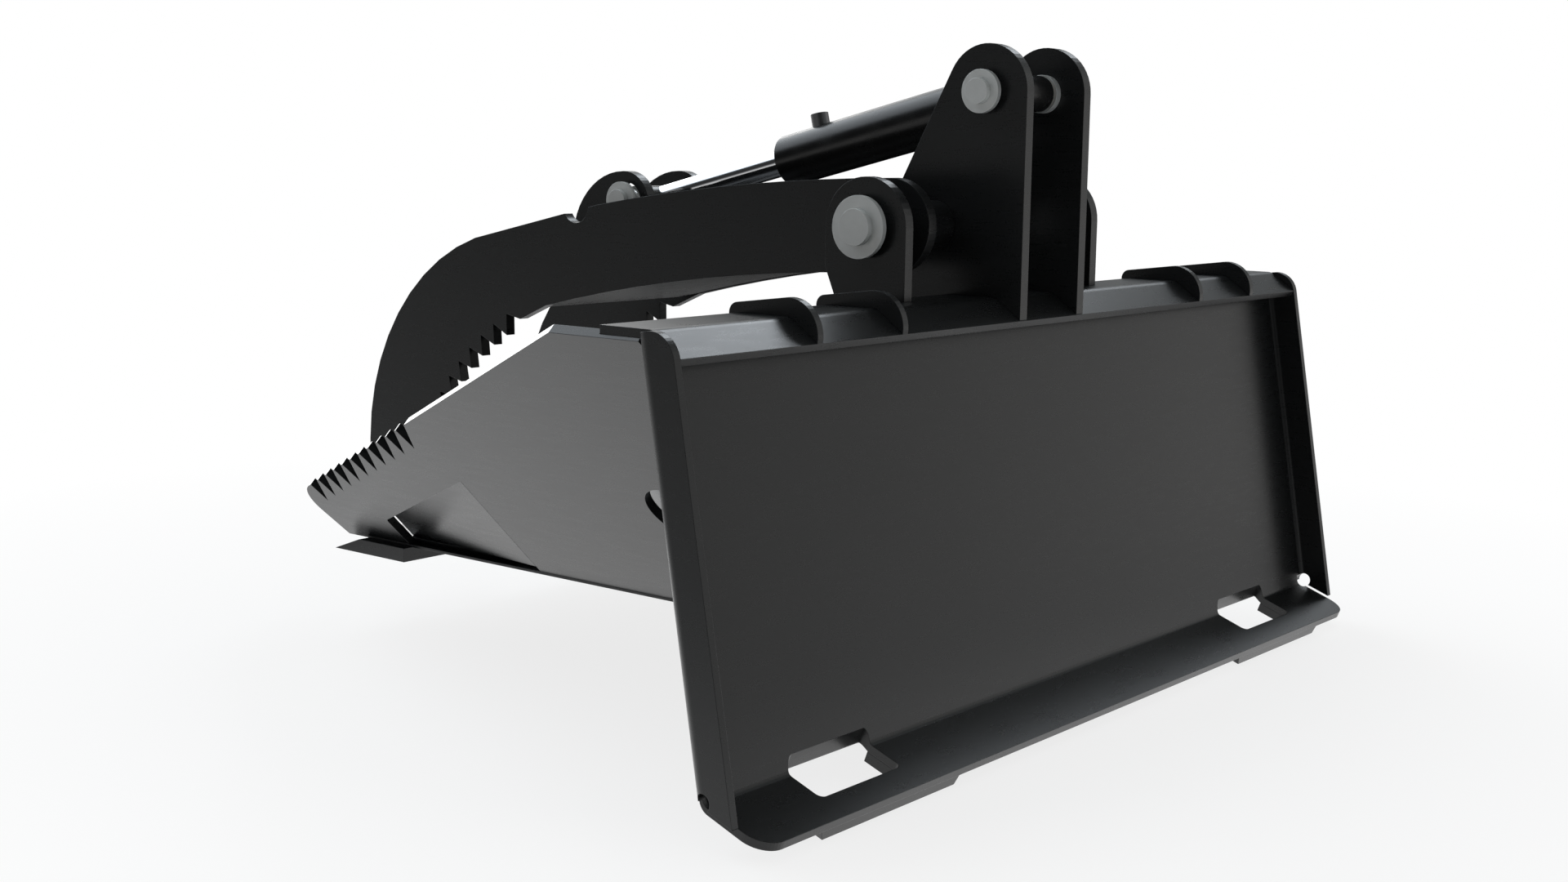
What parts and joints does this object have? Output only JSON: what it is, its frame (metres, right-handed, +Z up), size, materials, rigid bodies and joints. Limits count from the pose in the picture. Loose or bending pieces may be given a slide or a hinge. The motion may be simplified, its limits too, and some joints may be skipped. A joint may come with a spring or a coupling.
{
  "type": "stump bucket grapple",
  "caption": "Skid steer stump bucket with toothed side plates and a hydraulic grapple arm, on a universal quick attach plate.",
  "frame": {"origin": "middle of the upper rear edge of the hook that hangs on the loader's quick attach plate", "axes": "+X to the right as seen from the loader, across the attachment; +Y away from the loader, towards the bucket's nose; +Z up"},
  "size_m": [1.14, 0.9971, 0.6728],
  "materials": {
    "black_paint": "satin black powder coat",
    "cylinder_paint": "gloss black paint",
    "zinc": "zinc plated steel",
    "bare_steel": "turned steel",
    "chrome": "hard chrome, polished",
    "bronze": "bearing bronze",
    "seal": "polyurethane seal"
  },
  "bodies": {
    "bucket": {"back_plate": "black_paint", "hook_plate": "black_paint", "slot_pad_left": "black_paint", "slot_pad_right": "black_paint", "hook_rib_1": "black_paint", "hook_rib_2": "black_paint", "hook_rib_3": "black_paint", "hook_rib_4": "black_paint", "mast_plate_left": "black_paint", "mast_plate_right": "black_paint", "pivot_lug_left": "black_paint", "pivot_lug_right": "black_paint", "side_plate_left": "black_paint", "side_plate_right": "black_paint", "corner_panel_left": "black_paint", "corner_panel_right": "black_paint", "floor_plate": "black_paint", "cutting_edge": "black_paint", "arm_pivot_pins": "zinc", "pivot_pin_washers": "zinc", "base_pin": "zinc", "base_pin_washers": "zinc", "base_spacers": "zinc"},
    "grapple_arm": {"arm_plate_left": "black_paint", "arm_plate_right": "black_paint", "arm_hub_left": "black_paint", "arm_hub_right": "black_paint", "arm_bushes": "bronze", "arm_cross_plate": "black_paint", "rod_lug_left": "black_paint", "rod_lug_right": "black_paint"},
    "cylinder_barrel": {"barrel_tube": "cylinder_paint", "base_cap": "cylinder_paint", "base_eye": "cylinder_paint", "base_eye_bush": "bronze", "gland": "bare_steel", "rod_seal": "seal", "rod_wiper": "seal", "port_boss_base": "bare_steel", "port_boss_rod": "bare_steel"},
    "cylinder_rod": {"piston_rod": "chrome", "piston": "bare_steel", "piston_seal": "seal", "piston_nut": "bare_steel", "rod_eye": "cylinder_paint", "rod_spacers": "zinc", "rod_pin": "zinc", "rod_pin_washers": "zinc"}
  },
  "joints": [
    {"name": "arm_hinge", "type": "hinge", "parent": "bucket", "child": "grapple_arm", "pos_m": [0, 0.1055, 0.092], "axis": [1, 0, 0], "range_deg": [0, 50]},
    {"name": "barrel_hinge", "type": "hinge", "parent": "bucket", "child": "cylinder_barrel", "pos_m": [0, 0.048, 0.2245], "axis": [1, 0, 0], "range_deg": [0, 45.2]},
    {"name": "rod_slide", "type": "slide", "parent": "cylinder_barrel", "child": "cylinder_rod", "axis": [0, 0.971, -0.2392], "range_m": [-0.1165, 0]}
  ],
  "couplings": [
    {"joint": "barrel_hinge", "follows": "arm_hinge", "ratio": 0.90224},
    {"joint": "rod_slide", "follows": "arm_hinge", "m_per_rad": -0.13334}
  ]
}
